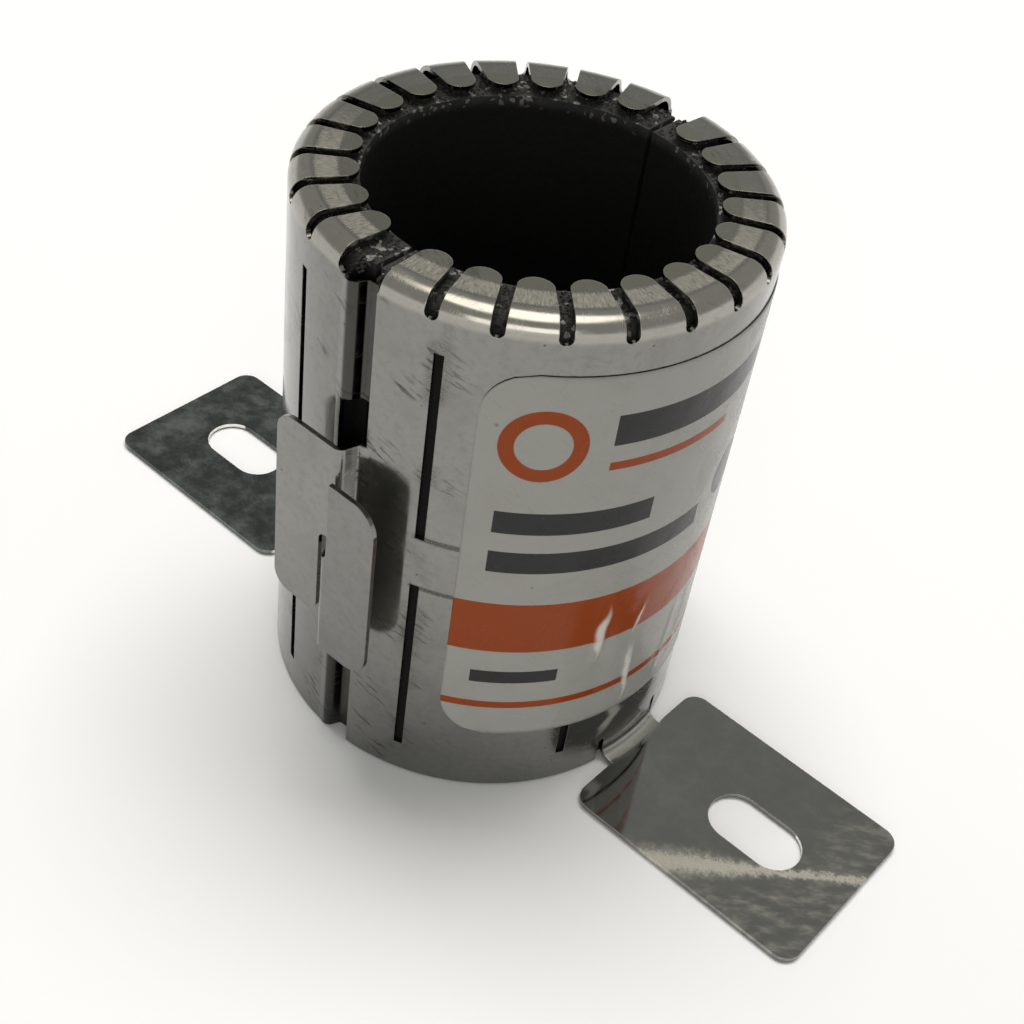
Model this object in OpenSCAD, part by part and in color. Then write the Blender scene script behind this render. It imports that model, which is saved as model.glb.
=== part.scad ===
// Pipe fire collar: two folded steel half shells hooked together around a pipe,
// each lined with a strip that swells in a fire, and a label on the front half.
// Millimetres. The pipe runs along Z, the base is at z = 0 and the fixing tabs lie along X.

/* [Pipe and liner] */
// Outside radius of the pipe that the collar closes round
pipe_r = 16.85; // [15:0.05:18]
// Gap from the pipe to the liner strips
liner_gap = 0.45; // [0.2:0.05:1]
// Gap from the pipe to the fingertips
tip_gap = 0.55; // [0.2:0.05:1]
// Gap from a liner strip to the wall behind it
liner_fit = 0.1; // [0.05:0.05:0.4]
// Depth of the liner's top below the folded fingers
liner_drop = 0.8; // [0.4:0.1:4]
// Height of the liner's lower edge above the base
liner_lift = 0.5; // [0:0.1:3]
// Chamfer round the liner's outer top edge
liner_chamfer = 1.5; // [1:0.1:3]
// Gap between the ends of the two strips
liner_end_gap = 0.5; // [0.2:0.1:2]

/* [Shell] */
// Outside radius of the wall
shell_r = 24; // [23:0.5:30]
// Height from the base to the top of the fingers
shell_h = 63.2; // [56:0.1:90]
// Thickness of the sheet
sheet_t = 0.5; // [0.4:0.05:0.8]
// Inner radius of the sharp folds in the hooks and tongues
fold_r = 0.4; // [0.2:0.05:0.6]
// Angle from the seam line to a half's free edge
free_edge_deg = 5; // [4:0.5:8]
// Angle from the seam line to the ridge where the tongue folds inwards
ridge_deg = 3.7; // [3:0.1:4]
// Angle by which the flat panel beside the ridge leaves the wall
panel_flare_deg = 8; // [5:0.5:11]

/* [Fingers] */
// Fingers along each half
finger_count = 12; // [8:1:14]
// Width of the cut between two fingers
finger_gap = 1.35; // [0.8:0.05:1.8]
// Outside radius of the fold at the fingers' roots
finger_fold_r = 2; // [1.2:0.1:3]
// Depth of the cuts below the top of the fingers
finger_cut_depth = 2.3; // [2:0.1:5]
// Step from the free edge to the side of the first finger
finger_step = 0.2; // [0.1:0.05:0.5]
// Radius of the fingertips
tip_round_r = 1.75; // [1.65:0.05:2]
// Angle from the seam line to the last cut, past which the edge is plain
plain_end_deg = 5.4; // [5:0.1:7]
// Depth of the plain edge below the floors of the cuts
plain_drop = 0.2; // [0.1:0.05:0.5]

/* [Wall slots] */
// Width of the slots
slot_w = 1; // [0.6:0.1:2]
// Angle from the tab to the inner columns of slots
slot_inner_deg = 25.3; // [18:0.1:40]
// Angle from the tab to the outer columns of slots
slot_outer_deg = 69.2; // [50:0.1:70]
// Height of the lower slots above the base
slot_base = 4.1; // [3:0.1:8]
// Length of the lower slots
slot_lower_len = 24.8; // [15:0.1:26]
// Wall left between the lower and upper slots
slot_bridge = 6.3; // [3:0.1:10]
// Wall left above the upper slots, up to the top of the fingers
slot_top_margin = 5.6; // [4:0.1:8]

/* [Tabs] */
// Width of a tab
tab_w = 22.6; // [16:0.1:30]
// Length of a tab past its shoulders
tab_len = 29.4; // [24:0.1:40]
// Gap from the wall to a tab's shoulders
tab_gap = 1.3; // [1:0.1:3]
// Corner radius of a tab
tab_corner_r = 2; // [1:0.1:4]
// Width of the neck that joins a tab to the wall
neck_w = 8.7; // [6:0.1:12]
// Inner radius of the neck's bend
neck_bend_r = 1.6; // [1:0.1:2.5]
// Width of the relief cut at each side of the neck
relief_w = 0.8; // [0.5:0.1:1.5]
// Height of the relief cuts above the base
relief_h = 3.4; // [3.2:0.1:6]
// Width of the anchor slot in a tab
anchor_w = 6.5; // [5:0.1:8]
// Length of the anchor slot
anchor_len = 11.5; // [9:0.1:16]
// Distance from the wall to the middle of the anchor slot
anchor_reach = 18.4; // [14:0.1:20]

/* [Latch] */
// Distance from the wall to the outer face of the over hook
hook_rise = 2.3; // [2:0.1:3]
// Gap between the faces of the two hooks where they cross
hook_gap = 0.25; // [0.2:0.05:0.4]
// Lower edge of the over hook above the base
over_base = 20; // [18:0.1:24]
// Height of the over hook
over_h = 23.5; // [21:0.1:25]
// Reach of the over hook past the seam line
over_reach = 7.6; // [6:0.1:10]
// Angle at which the over hook's face leaves the wall's
over_kick_deg = 6; // [4:0.5:10]
// Length of the over hook's face up to its first fold
over_lead = 0.8; // [0.6:0.1:1]
// Slope of the over hook's root
over_slope_deg = 76; // [60:1:85]
// Depth of the slot in the over hook, up from its lower edge
over_slot_depth = 11.7; // [10:0.1:12]
// Lower edge of the under hook above the base
under_base = 16.5; // [14:0.1:18]
// Height of the under hook
under_h = 23; // [21:0.1:25]
// Reach of the under hook past the seam line
under_reach = 6.8; // [5:0.1:9]
// Slope of the under hook's root
under_slope_deg = 70; // [60:1:80]
// Width of the slots in which the hooks cross
latch_slot_w = 1.8; // [1.7:0.05:2.2]
// Play between the two hooks along the pipe
latch_play = 2.3; // [0.5:0.1:3]
// Corner radius of the over hook
over_corner_r = 2.2; // [1:0.1:3]
// Corner radius of the under hook
under_corner_r = 3; // [1:0.1:3]
// Corner radius at the mouth of the over hook's slot
mouth_r = 1.6; // [0.5:0.1:2]

/* [Tongues] */
// Slope at which a tongue folds inwards from the ridge
tuck_deg = 67; // [50:1:72]
// Gap between a tongue and the wall that it passes behind
lap_gap = 0.9; // [0.5:0.05:1.2]
// Length of a tongue behind the other half's wall
lap_len = 3.5; // [2:0.1:5]
// Slope of that length, following the wall
lap_tilt_deg = 5; // [3:0.5:8]
// Gap between a tongue's lower part and the under hook
tongue_relief = 0.8; // [0.5:0.1:2]
// Gap from the over hook up to a tongue's upper part
tongue_notch = 4; // [1:0.1:6]
// Gap between a tongue and the liner strips
tongue_clear = 0.4; // [0.3:0.05:0.8]

/* [Label] */
// Angle from the tab to each end of the label
label_half_deg = 59.3; // [30:0.1:64]
// Lower edge of the label above the base
label_base = 9; // [6:0.1:16]
// Height of the label
label_h = 48.6; // [30:0.1:48.6]
// Corner radius of the label
label_corner_r = 5; // [2:0.1:8]
// Thickness of the label
label_t = 0.1; // [0.08:0.01:0.2]
// Thickness of the adhesive under it
label_glue = 0.05; // [0.03:0.01:0.1]

/* [Hidden] */
$fn = 96;

// Margin by which a cutting shape passes the sheet, and overlap of shapes that join
cut_margin = 2;
join = 0.4;
// Amount by which a corner's arc passes the edges that it rounds, so that it meets them at an angle
corner_bite = 0.04;
// Depth inside the wall to which the roots of hooks and panels are trimmed
root_trim = 0.02;
// Straight facets in a sharp fold
fold_facets = 6;
wall_r = shell_r - sheet_t;
liner_r = pipe_r + liner_gap;
tip_r = pipe_r + tip_gap;

// Fingers: parallel cuts at an even pitch from the free edge to the plain end
cut_floor_z = shell_h - finger_cut_depth;
first_cut_deg = free_edge_deg - 90 - asin((finger_gap / 2 - finger_step) / shell_r);
last_cut_deg = 90 - plain_end_deg;
plain_top_z = cut_floor_z - plain_drop;
finger_pitch_deg = (last_cut_deg - first_cut_deg) / finger_count;

// Seam at -Y: the panel leaves the wall at the last cut and rises to the ridge
panel_tilt_deg = plain_end_deg + panel_flare_deg;
panel_turn_deg = plain_end_deg - ridge_deg;
// The wall runs on inside the panel, to its middle
wall_end_deg = last_cut_deg + panel_turn_deg / 2;
panel_x = -shell_r * sin(plain_end_deg);
panel_y = shell_r * cos(plain_end_deg);
panel_run = shell_r * sin(panel_turn_deg) / cos(panel_flare_deg + panel_turn_deg);
ridge_x = panel_x + panel_run * cos(panel_tilt_deg);
ridge_y = panel_y + panel_run * sin(panel_tilt_deg);

// Hooks: the over hook leaves the wall just before the free edge and folds just past it
over_leave_deg = free_edge_deg + asin(join / shell_r);
over_start_deg = over_leave_deg + over_kick_deg;
over_leave_x = -shell_r * sin(over_leave_deg);
over_leave_y = shell_r * cos(over_leave_deg);
// Outer faces, and straight lengths of the roots that reach them
over_level = shell_r + hook_rise;
under_level = over_level + hook_gap + sheet_t;
over_fold_y = over_leave_y + over_lead * sin(over_start_deg);
over_rise = over_level - over_fold_y - fold_rise(over_start_deg, over_slope_deg);
over_run = over_rise / sin(over_slope_deg);
under_rise = under_level - ridge_y - fold_rise(panel_tilt_deg, under_slope_deg);
under_run = under_rise / sin(under_slope_deg);
over_top = over_base + over_h;
under_top = under_base + under_h;
over_slot_top = over_base + over_slot_depth;
under_slot_floor = over_slot_top - latch_play;
// The slots lie where the under hook's root passes the over hook's plate
root_x = ridge_x + fold_r * (sin(under_slope_deg) - sin(panel_tilt_deg));
root_y = ridge_y + fold_r * (cos(panel_tilt_deg) - cos(under_slope_deg));
crossing_y = over_level - sheet_t / 2 - root_y;
latch_slot_x = root_x + crossing_y / tan(under_slope_deg) + sheet_t / 2 / sin(under_slope_deg);

// Tongues: folded in at the ridge, then along the other half's wall
lap_level = wall_r - lap_gap;
tuck_fold_y = (fold_r + sheet_t) * (cos(panel_tilt_deg) - cos(tuck_deg));
lap_fold_y = fold_r * (cos(lap_tilt_deg) - cos(tuck_deg));
tuck_run = (ridge_y - lap_level - tuck_fold_y - lap_fold_y) / sin(tuck_deg);
tuck_fold_x = (fold_r + sheet_t) * (sin(tuck_deg) + sin(panel_tilt_deg));
lap_fold_x = fold_r * (sin(tuck_deg) - sin(lap_tilt_deg));
lap_x = ridge_x + tuck_fold_x + tuck_run * cos(tuck_deg) + lap_fold_x;
lap_end_x = lap_x + lap_len * cos(lap_tilt_deg);
tongue_lower_top = under_base - tongue_relief;
tongue_upper_base = over_top + tongue_notch;

// Liner: thinner near the seams, where the tongues pass behind it
liner_outer_r = wall_r - liner_fit;
liner_seam_r = lap_level - sheet_t - tongue_clear;
liner_top = shell_h - sheet_t - liner_drop;
liner_end_deg = asin(liner_end_gap / 2 / liner_r);
liner_far_deg = asin((lap_end_x + tongue_clear) / liner_seam_r);
liner_near_deg = asin((tongue_clear - ridge_x) / liner_seam_r);

// Height gained in the two folds of a hook's root, from one slope to another and back to level
function fold_rise(from_deg, to_deg) =
    fold_r * (cos(from_deg) - cos(to_deg)) + (fold_r + sheet_t) * (1 - cos(to_deg));

// Points round a fold from a point [x, y, heading], turning left, or right where turn is negative
function fold_points(from, turn) =
    let (side = sign(turn), r = turn > 0 ? fold_r + sheet_t : fold_r, start = from[2])
    [for (k = [1 : fold_facets])
        let (heading = start + turn * k / fold_facets)
        [
            from[0] + side * r * (sin(heading) - sin(start)),
            from[1] + side * r * (cos(start) - cos(heading)),
            heading
        ]
    ];

// Points along a strip's outer face: each step is [straight run, turn that follows it]
function strip_points(from, steps, i = 0) =
    let (run = steps[i][0], turn = steps[i][1])
    let (bend = from + [run * cos(from[2]), run * sin(from[2]), 0])
    let (turned = turn == 0 ? [bend] : concat([bend], fold_points(bend, turn)))
    i + 1 == len(steps)
        ? concat([from], turned)
        : concat([from], turned, [for (p = strip_points(turned[len(turned) - 1], steps, i + 1))
            if (p != turned[len(turned) - 1]) p]);

// Sheet folded in plan, seen along its edge, with its thickness to the left of the way it runs
module folded_strip(from, steps) {
    outer = strip_points(from, steps);
    inner = [for (i = [len(outer) - 1 : -1 : 0])
        [outer[i][0] - sheet_t * sin(outer[i][2]), outer[i][1] + sheet_t * cos(outer[i][2])]];
    polygon(concat([for (p = outer) [p[0], p[1]]], inner));
}

// Rectangle with round corners between two corner points
module round_rect(low, high, corner_r) {
    size = high - low;
    translate(low + [corner_r, 0])
        square([size[0] - 2 * corner_r, size[1]]);
    translate(low + [0, corner_r])
        square([size[0], size[1] - 2 * corner_r]);
    for (x = [low[0] + corner_r, high[0] - corner_r], y = [low[1] + corner_r, high[1] - corner_r])
        translate([x, y])
            circle(corner_r);
}

// Quarter of a section with a round outer corner, out to a radius and a height
module round_corner(outer_r, height, corner_r) {
    square([outer_r - corner_r, height]);
    square([outer_r, height - corner_r]);
    translate([outer_r - corner_r, height - corner_r])
        circle(corner_r);
}

// Turns a section of the wall round the pipe, from the free edge to the panel
module turn_with_wall() {
    rotate(free_edge_deg - 90)
        rotate_extrude(angle = wall_end_deg - free_edge_deg + 90)
            children();
}

// Section of the wall with its rim folded in to a flange
module wall_section() {
    flange_r = tip_r - join;
    difference() {
        round_corner(shell_r, shell_h, finger_fold_r);
        round_corner(wall_r, shell_h - sheet_t, finger_fold_r - sheet_t);
        square([flange_r, shell_h + cut_margin]);
    }
}

// Parallel-sided cut with a round floor, along +X through the rim
module finger_cut() {
    translate([tip_r - cut_margin, 0, 0])
        rotate([90, 0, 90])
            linear_extrude(shell_r - tip_r + 2 * cut_margin)
                translate([0, cut_floor_z + finger_gap / 2]) {
                    translate([-finger_gap / 2, 0])
                        square([finger_gap, finger_cut_depth]);
                    circle(finger_gap / 2);
                }
}

// What is cut away round a finger's tip, along +X
module tip_cut() {
    width = 2 * tip_r * sin(finger_pitch_deg / 2);
    depth = tip_round_r + cut_margin;
    translate([0, 0, cut_floor_z])
        linear_extrude(2 * finger_cut_depth)
            difference() {
                translate([tip_r + tip_round_r - depth, -width / 2])
                    square([depth, width]);
                translate([tip_r + tip_round_r, 0])
                    circle(tip_round_r);
            }
}

// Cuts that make the fingers
module finger_cuts() {
    for (i = [0 : finger_count])
        rotate(first_cut_deg + i * finger_pitch_deg)
            finger_cut();
    for (i = [0 : finger_count - 1])
        rotate(first_cut_deg + (i + 0.5) * finger_pitch_deg)
            tip_cut();
    rotate(last_cut_deg)
        translate([wall_r - cut_margin, finger_gap / 4, plain_top_z + plain_drop / 2])
            cube([2 * cut_margin, cut_margin, finger_cut_depth + cut_margin]);
}

// Two columns of slots at each side of the tab
module wall_slots() {
    upper_base = slot_base + slot_lower_len + slot_bridge;
    upper_len = shell_h - slot_top_margin - upper_base;
    for (column_deg = [-slot_outer_deg, -slot_inner_deg, slot_inner_deg, slot_outer_deg])
        rotate(column_deg)
            translate([wall_r - cut_margin, -slot_w / 2, 0]) {
                translate([0, 0, slot_base])
                    cube([2 * cut_margin, slot_w, slot_lower_len]);
                translate([0, 0, upper_base])
                    cube([2 * cut_margin, slot_w, upper_len]);
            }
}

// Opening in the wall under the neck, and the relief cuts at its sides
module neck_cuts() {
    translate([wall_r - cut_margin, -neck_w / 2, -cut_margin])
        cube([2 * cut_margin, neck_w, cut_margin + sheet_t + neck_bend_r]);
    for (side = [-1, 1])
        translate([wall_r - cut_margin, side * (neck_w + relief_w) / 2, 0]) {
            translate([0, -relief_w / 2, -cut_margin])
                cube([2 * cut_margin, relief_w, cut_margin + relief_h - relief_w / 2]);
            translate([0, 0, relief_h - relief_w / 2])
                rotate([0, 90, 0])
                    cylinder(r = relief_w / 2, h = 2 * cut_margin);
        }
}

// Section of the neck: wall, outward bend and the start of the tab
module neck_section() {
    bend_x = shell_r + neck_bend_r;
    bend_z = sheet_t + neck_bend_r;
    difference() {
        translate([wall_r, 0])
            square([bend_x + join - wall_r, bend_z + join]);
        translate([shell_r, bend_z])
            square([2 * neck_bend_r, 2 * join]);
        translate([bend_x, sheet_t])
            square([2 * join, 2 * neck_bend_r]);
        translate([bend_x, bend_z])
            circle(neck_bend_r);
        difference() {
            translate([wall_r - join, -join])
                square([neck_bend_r + sheet_t + join, bend_z + join]);
            translate([bend_x, bend_z])
                circle(neck_bend_r + sheet_t);
        }
    }
}

// Neck bent outwards from the wall, and the flat tab with its anchor slot
module tab() {
    bend_x = shell_r + neck_bend_r;
    shoulder_x = shell_r + tab_gap;
    anchor_half = (anchor_len - anchor_w) / 2;
    intersection() {
        turn_with_wall()
            neck_section();
        translate([0, -neck_w / 2, -cut_margin])
            cube([2 * shell_r, neck_w, shell_h]);
    }
    linear_extrude(sheet_t)
        difference() {
            union() {
                round_rect([shoulder_x, -tab_w / 2], [shoulder_x + tab_len, tab_w / 2], tab_corner_r);
                translate([shell_r, -neck_w / 2])
                    square([neck_bend_r + tab_gap, neck_w]);
            }
            circle(bend_x + join / 2);
            translate([shell_r + anchor_reach, 0]) {
                square([2 * anchor_half, anchor_w], center = true);
                for (side = [-1, 1])
                    translate([side * anchor_half, 0])
                        circle(anchor_w / 2);
            }
        }
}

// Stands a flat outline up in the seam's plane, through the latch
module stand_at_seam() {
    translate([0, cut_margin - wall_r, 0])
        rotate([90, 0, 0])
            linear_extrude(under_level)
                children();
}

// Over hook at the free edge: crosses the seam at -Y outside, with its slot open below
module over_hook() {
    start = [
        over_leave_x - join * cos(over_start_deg),
        -over_leave_y + join * sin(over_start_deg),
        -over_start_deg
    ];
    turn_deg = over_start_deg - over_slope_deg;
    plate_run = over_reach - over_leave_x;
    steps = [[join + over_lead, turn_deg], [over_run, over_slope_deg], [plate_run, 0]];
    intersection() {
        translate([0, 0, over_base])
            linear_extrude(over_h)
                difference() {
                    mirror([1, 0])
                        folded_strip(start, steps);
                    circle(wall_r + root_trim);
                }
        stand_at_seam()
            over_outline();
    }
}

// Face of the over hook, with x along the seam's width and y up the pipe
module over_outline() {
    far_x = 2 * over_corner_r - 2 * over_leave_x;
    round_r = latch_slot_w / 2;
    difference() {
        round_rect([-over_reach, over_base], [far_x, over_top], over_corner_r);
        translate([latch_slot_x, over_slot_top - round_r]) {
            translate([-round_r, -over_slot_depth])
                square([latch_slot_w, over_slot_depth]);
            circle(round_r);
        }
        translate([latch_slot_x - round_r - mouth_r, over_base])
            difference() {
                translate([0, -mouth_r])
                    square([2 * mouth_r, 2 * mouth_r]);
                translate([0, mouth_r])
                    circle(mouth_r + corner_bite);
            }
    }
}

// Sheet at the rear half's end at -Y, from inside its wall along the panel and through further folds
module panel_strip(turn_deg, more_steps) {
    start = [
        panel_x - join * cos(panel_tilt_deg),
        -panel_y + join * sin(panel_tilt_deg),
        -panel_tilt_deg
    ];
    difference() {
        folded_strip(start, concat([[join + panel_run, turn_deg]], more_steps));
        intersection() {
            circle(wall_r + root_trim);
            translate([panel_x - panel_run, -shell_r])
                square([panel_run + panel_run / 2, shell_r]);
        }
    }
}

// Under hook at the ridge of the rear half: crosses the seam at -Y, with its slot open above
module under_hook() {
    steps = [[under_run, under_slope_deg], [under_reach - ridge_x, 0]];
    intersection() {
        translate([0, 0, under_base])
            linear_extrude(under_h)
                panel_strip(panel_tilt_deg - under_slope_deg, steps);
        stand_at_seam()
            under_outline();
    }
}

// Face of the under hook: a body at the ridge and a leg that stands up past the slot
module under_outline() {
    far_x = under_reach + 2 * under_corner_r;
    round_r = latch_slot_w / 2;
    difference() {
        round_rect([-far_x, under_base], [under_reach, under_top], under_corner_r);
        translate([latch_slot_x, under_slot_floor + round_r]) {
            translate([-far_x, 0])
                square([far_x + round_r, under_h]);
            translate([-far_x, -round_r])
                square([far_x, under_h]);
            circle(round_r);
        }
    }
}

// Flat panel of the rear half at -Y, and its tongue above and below the hooks
module panel_and_tongue() {
    linear_extrude(plain_top_z)
        panel_strip(0, []);
    for (span = [[0, tongue_lower_top], [tongue_upper_base, plain_top_z]])
        translate([0, 0, span[0]])
            linear_extrude(span[1] - span[0])
                panel_strip(panel_tilt_deg + tuck_deg, [[tuck_run, lap_tilt_deg - tuck_deg], [lap_len, 0]]);
}

// One half of the collar, folded from a single sheet, with its tab along +X
module half_shell() {
    difference() {
        turn_with_wall()
            wall_section();
        finger_cuts();
        wall_slots();
        neck_cuts();
    }
    tab();
    over_hook();
    rotate(180) {
        panel_and_tongue();
        under_hook();
    }
}

// Liner strip of the front half, thinned at both ends to clear the tongues
module liner_strip() {
    reach = 2 * cut_margin;
    difference() {
        rotate(liner_end_deg - 90)
            rotate_extrude(angle = 180 - 2 * liner_end_deg)
                polygon([
                    [liner_r, liner_lift],
                    [liner_outer_r, liner_lift],
                    [liner_outer_r, liner_top - liner_chamfer],
                    [liner_outer_r - liner_chamfer, liner_top],
                    [liner_r, liner_top]
                ]);
        rotate(-90 - liner_far_deg)
            rotate_extrude(angle = 2 * liner_far_deg)
                translate([liner_seam_r, -reach])
                    square([liner_outer_r - liner_seam_r + reach, shell_h + 2 * reach]);
        rotate(90 - liner_near_deg)
            rotate_extrude(angle = 2 * liner_near_deg)
                translate([liner_seam_r, -reach])
                    square([liner_outer_r - liner_seam_r + reach, shell_h + 2 * reach]);
    }
}

module front_half_shell() {
    color("#b4b4ae")
        half_shell();
}

module rear_half_shell() {
    color("#a8a8a2")
        rotate(180)
            half_shell();
}

module front_liner_strip() {
    color("#1e1e1d")
        liner_strip();
}

module rear_liner_strip() {
    color("#262625")
        rotate(180)
            liner_strip();
}

// Label stuck round the front half, with round corners
module label() {
    inner_r = shell_r + label_glue;
    corner_deg = asin(label_corner_r / shell_r);
    color("#dcdcd8")
        difference() {
            rotate(-label_half_deg)
                rotate_extrude(angle = 2 * label_half_deg)
                    translate([inner_r, label_base])
                        square([label_t, label_h]);
            for (side = [-1, 1], end = [0, 1])
                mirror([0, end, 0])
                    rotate(label_half_deg - corner_deg)
                        translate([shell_r - cut_margin, 0, label_base + label_h / 2])
                            scale([1, 1, side])
                                label_corner();
        }
}

// Corner cut from the label's upper end, in the frame of the corner's centre
module label_corner() {
    centre_z = label_h / 2 - label_corner_r;
    reach = label_corner_r + cut_margin;
    difference() {
        translate([0, 0, centre_z])
            cube([2 * cut_margin, reach, reach]);
        translate([-join, 0, centre_z])
            rotate([0, 90, 0])
                cylinder(r = label_corner_r + corner_bite, h = 2 * cut_margin + 2 * join);
    }
}

front_half_shell();
rear_half_shell();
front_liner_strip();
rear_liner_strip();
label();
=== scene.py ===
# %% [markdown]
# # Pipe fire collar
# A collar of two folded steel halves that hook together round a plastic pipe. In a fire
# the graphite mat inside swells and squeezes the pipe shut.
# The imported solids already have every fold, finger, slot and hook. They could be modelled
# again here, but then two shapes would have to agree, so this lesson keeps them and gives
# them their finish: bright rolled steel, crumbly graphite and a printed film.

# %% Load the frame
import math

import bmesh
import bpy
from mathutils import Matrix, Vector


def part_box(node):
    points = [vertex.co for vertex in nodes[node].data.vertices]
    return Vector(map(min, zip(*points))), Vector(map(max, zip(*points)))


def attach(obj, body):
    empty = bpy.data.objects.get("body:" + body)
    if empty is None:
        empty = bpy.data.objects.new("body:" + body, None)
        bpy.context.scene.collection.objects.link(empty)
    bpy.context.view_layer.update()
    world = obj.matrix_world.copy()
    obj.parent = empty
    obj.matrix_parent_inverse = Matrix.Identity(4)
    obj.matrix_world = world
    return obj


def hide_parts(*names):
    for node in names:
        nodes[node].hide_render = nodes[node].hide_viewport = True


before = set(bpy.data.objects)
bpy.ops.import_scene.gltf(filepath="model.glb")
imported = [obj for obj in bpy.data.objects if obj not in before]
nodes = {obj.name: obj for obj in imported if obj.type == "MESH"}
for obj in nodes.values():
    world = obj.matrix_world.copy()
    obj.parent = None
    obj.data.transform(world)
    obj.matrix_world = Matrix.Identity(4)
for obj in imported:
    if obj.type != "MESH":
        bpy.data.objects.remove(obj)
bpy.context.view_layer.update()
print("nodes:", sorted(nodes))

# %% [markdown]
# ## Sizes read from the solids
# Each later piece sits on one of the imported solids. Its radius and height could be typed
# in, but they are measured from that solid's box, so nothing has to be fitted by eye.

# %% Measure the rim, the liner and the label
MM = 0.001
WALL_R = 24 * MM
label_low, label_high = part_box("label")
liner_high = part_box("front_liner_strip")[1]
label_r = label_high.x
liner_r, liner_top = liner_high.x, liner_high.z
rim_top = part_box("front_half_shell")[1].z
print("label radius %.2f mm" % (label_r / MM))
print("liner top %.2f mm, rim %.2f mm" % (liner_top / MM, rim_top / MM))

# %% [markdown]
# ## Camera
# The view is from above the latch, with a slight roll as in a hand-held picture. Angles
# for a tilt, a turn and a roll would do, but the camera's own right, up and back
# directions say the same with no doubt about the order of turning.

# %% Place the camera
CAMERA_AT = Vector((78.3, -105.3, 139.6)) * MM
CAMERA_RIGHT = Vector((0.7392, 0.6634, 0.1163))
CAMERA_UP = Vector((-0.5195, 0.4517, 0.7253))


def link(obj):
    """Puts an object into the scene and returns it."""
    bpy.context.scene.collection.objects.link(obj)
    return obj


lens = bpy.data.cameras.new("camera")
lens.sensor_width = 36
lens.lens = 54.75
lens.shift_x = 0.002
lens.shift_y = 0.0065
lens.clip_start = 0.01
camera = link(bpy.data.objects.new("camera", lens))
axes = Matrix((CAMERA_RIGHT, CAMERA_UP, CAMERA_RIGHT.cross(CAMERA_UP))).transposed()
camera.matrix_world = Matrix.Translation(CAMERA_AT) @ axes.to_4x4()
bpy.context.scene.camera = camera
print("camera distance %.0f mm" % (camera.matrix_world.translation.length / MM))

# %% [markdown]
# ## Small helpers for node trees
# A material is a tree of nodes. Written out one by one, the nodes of this collar would
# fill many pages, so short helpers add them: first any node and the sums, then soft masks
# and colours, then whole groups and materials.

# %% Any node
def fill(tree, socket, value):
    """Links a socket to another, or writes a plain value into it."""
    if isinstance(value, bpy.types.NodeSocket):
        tree.links.new(value, socket)
    elif value is not None:
        socket.default_value = value


def add(tree, kind, settings=None, **inputs):
    """Adds a node, with its settings and its inputs by name."""
    item = tree.nodes.new(kind)
    for name, value in (settings or {}).items():
        setattr(item, name, value)
    for name, value in inputs.items():
        fill(tree, item.inputs[name.replace("_", " ")], value)
    return item


print("nodes can be added")

# %% Sums
def calc(tree, operation, a, b=None, c=None):
    """Adds a math node and returns its result."""
    item = add(tree, "ShaderNodeMath", {"operation": operation})
    for socket, value in zip(item.inputs, (a, b, c)):
        fill(tree, socket, value)
    return item.outputs[0]


def chain(tree, operation, first, *others):
    """Joins several values by one operation."""
    for value in others:
        first = calc(tree, operation, first, value)
    return first


def times(tree, *values):
    """The values multiplied, which keeps only what all masks share."""
    return chain(tree, "MULTIPLY", *values)


def most(tree, *values):
    """The highest value, which joins masks."""
    return chain(tree, "MAXIMUM", *values)


def total(tree, *values):
    """The values added up."""
    return chain(tree, "ADD", *values)


def minus(tree, a, b):
    """One value less another."""
    return calc(tree, "SUBTRACT", a, b)


def scaled(tree, value, factor, start):
    """A value times a factor, counted from a start."""
    return calc(tree, "MULTIPLY_ADD", value, factor, start)


def gap(tree, a, b):
    """How far two values lie apart."""
    return calc(tree, "ABSOLUTE", minus(tree, a, b))


def vector_calc(tree, operation, a, b=None):
    """Adds a vector math node and returns the output that holds its result."""
    item = add(tree, "ShaderNodeVectorMath", {"operation": operation})
    fill(tree, item.inputs[0], a)
    fill(tree, item.inputs[1], b)
    return item.outputs["Value" if operation in ("DOT_PRODUCT", "LENGTH") else "Vector"]


print("sums ready")

# %% Masks, colours and noise
def ramp(tree, value, low, high, start=0.0, end=1.0):
    """A soft step from start at low to end at high."""
    item = add(tree, "ShaderNodeMapRange", {"interpolation_type": "SMOOTHSTEP"})
    for socket, number in zip(item.inputs, (value, low, high, start, end)):
        fill(tree, socket, number)
    return item.outputs[0]


def fall(tree, value, low, high):
    """A soft step down, from 1 at low to 0 at high."""
    return ramp(tree, value, low, high, 1.0, 0.0)


def band(tree, value, centre, half, soft):
    """1 near a centre value, falling to 0 past half a width."""
    return fall(tree, gap(tree, value, centre), half, half + soft)


def blend(tree, factor, a, b):
    """Mixes two colours."""
    item = add(tree, "ShaderNodeMix", {"data_type": "RGBA"}, Factor=factor)
    fill(tree, item.inputs[6], a)
    fill(tree, item.inputs[7], b)
    return item.outputs[2]


def coats(tree, base, layers):
    """Lays colours over a base one after another, each where its mask is."""
    for mask, colour in layers:
        base = blend(tree, mask, base, colour)
    return base


def noise(tree, vector, scale, detail, roughness=0.5, distortion=0.0):
    """Cloudy noise between 0 and 1."""
    return add(
        tree, "ShaderNodeTexNoise", Vector=vector, Scale=scale, Detail=detail,
        Roughness=roughness, Distortion=distortion,
    ).outputs[0]


print("masks ready")

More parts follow.
